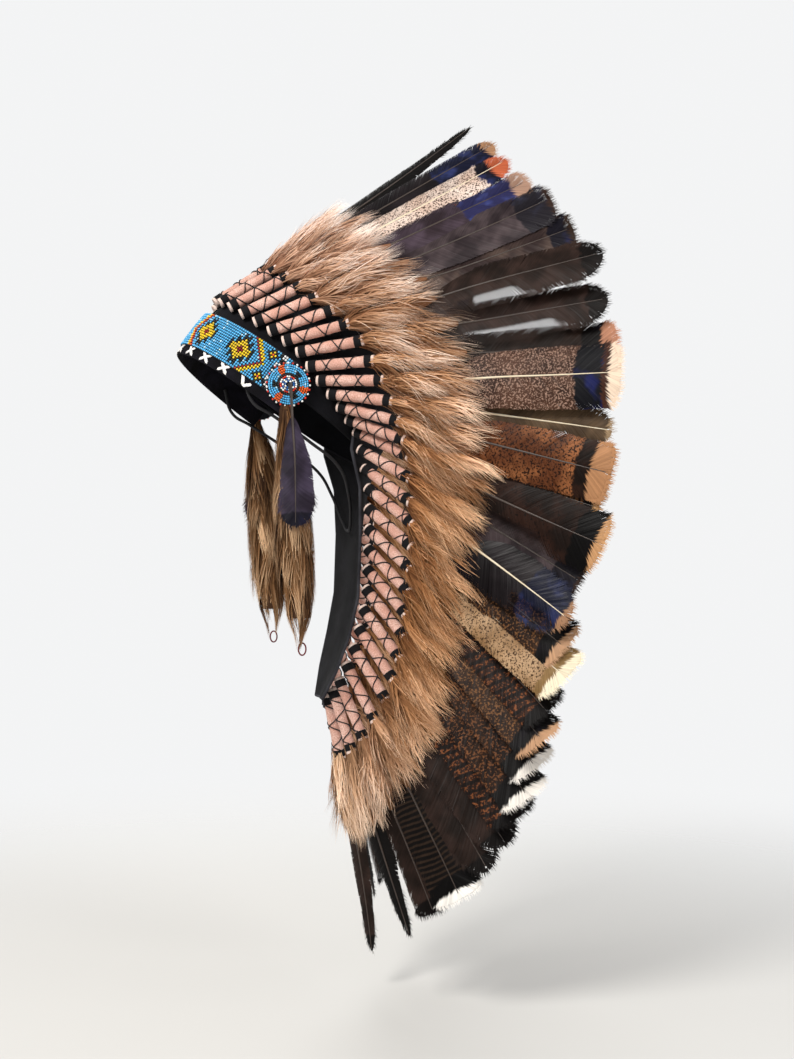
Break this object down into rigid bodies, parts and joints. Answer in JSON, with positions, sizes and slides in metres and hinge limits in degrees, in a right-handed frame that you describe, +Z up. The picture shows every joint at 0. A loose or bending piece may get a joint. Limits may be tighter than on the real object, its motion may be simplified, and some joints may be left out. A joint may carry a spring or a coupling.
{
  "type": "feathered headdress",
  "caption": "Full feathered headdress with a beaded brow band, rosettes with side drops, bound plumes with fur-like fluff round the head and down both edges of a cloth trailer.",
  "frame": {"origin": "centre of the head opening, at the level where the brow band's rim goes round the head", "axes": "+Z up as worn, -Y the way the wearer faces, +X the wearer's left"},
  "size_m": [0.4796, 0.3569, 0.7923],
  "materials": {
    "cap_cloth": "matte",
    "trailer_cloth": "matte",
    "band_suede": "matte",
    "strip_beads": "gloss",
    "rosette_beads": "gloss",
    "feather": "matte",
    "fur": "matte",
    "drop_feather": "satin",
    "cord": "matte"
  },
  "bodies": {
    "root": {"bead_strip": "strip_beads", "brow_band": "band_suede", "cap": "cap_cloth", "drop_feather_left": "drop_feather", "drop_feather_right": "drop_feather", "drop_fur_left": "fur", "drop_fur_right": "fur", "nape_cord": "cord", "plume_00_centre": "feather", "plume_01_left": "feather", "plume_01_right": "feather", "plume_02_left": "feather", "plume_02_right": "feather", "plume_03_left": "feather", "plume_03_right": "feather", "plume_04_left": "feather", "plume_04_right": "feather", "plume_05_left": "feather", "plume_05_right": "feather", "plume_06_left": "feather", "plume_06_right": "feather", "plume_07_left": "feather", "plume_07_right": "feather", "plume_08_left": "feather", "plume_08_right": "feather", "plume_09_left": "feather", "plume_09_right": "feather", "plume_10_left": "feather", "plume_10_right": "feather", "plume_11_left": "feather", "plume_11_right": "feather", "plume_12_left": "feather", "plume_12_right": "feather", "plume_13_left": "feather", "plume_13_right": "feather", "plume_28_centre": "feather", "plumes_14_15_left": "feather", "plumes_14_15_right": "feather", "plumes_16_17_left": "feather", "plumes_16_17_right": "feather", "plumes_18_19_left": "feather", "plumes_18_19_right": "feather", "plumes_20_21_left": "feather", "plumes_20_21_right": "feather", "plumes_22_23_left": "feather", "plumes_22_23_right": "feather", "plumes_24_25_left": "feather", "plumes_24_25_right": "feather", "plumes_26_27_left": "feather", "plumes_26_27_right": "feather", "rosette_left": "rosette_beads", "rosette_right": "rosette_beads", "trailer": "trailer_cloth"}
  },
  "joints": []
}
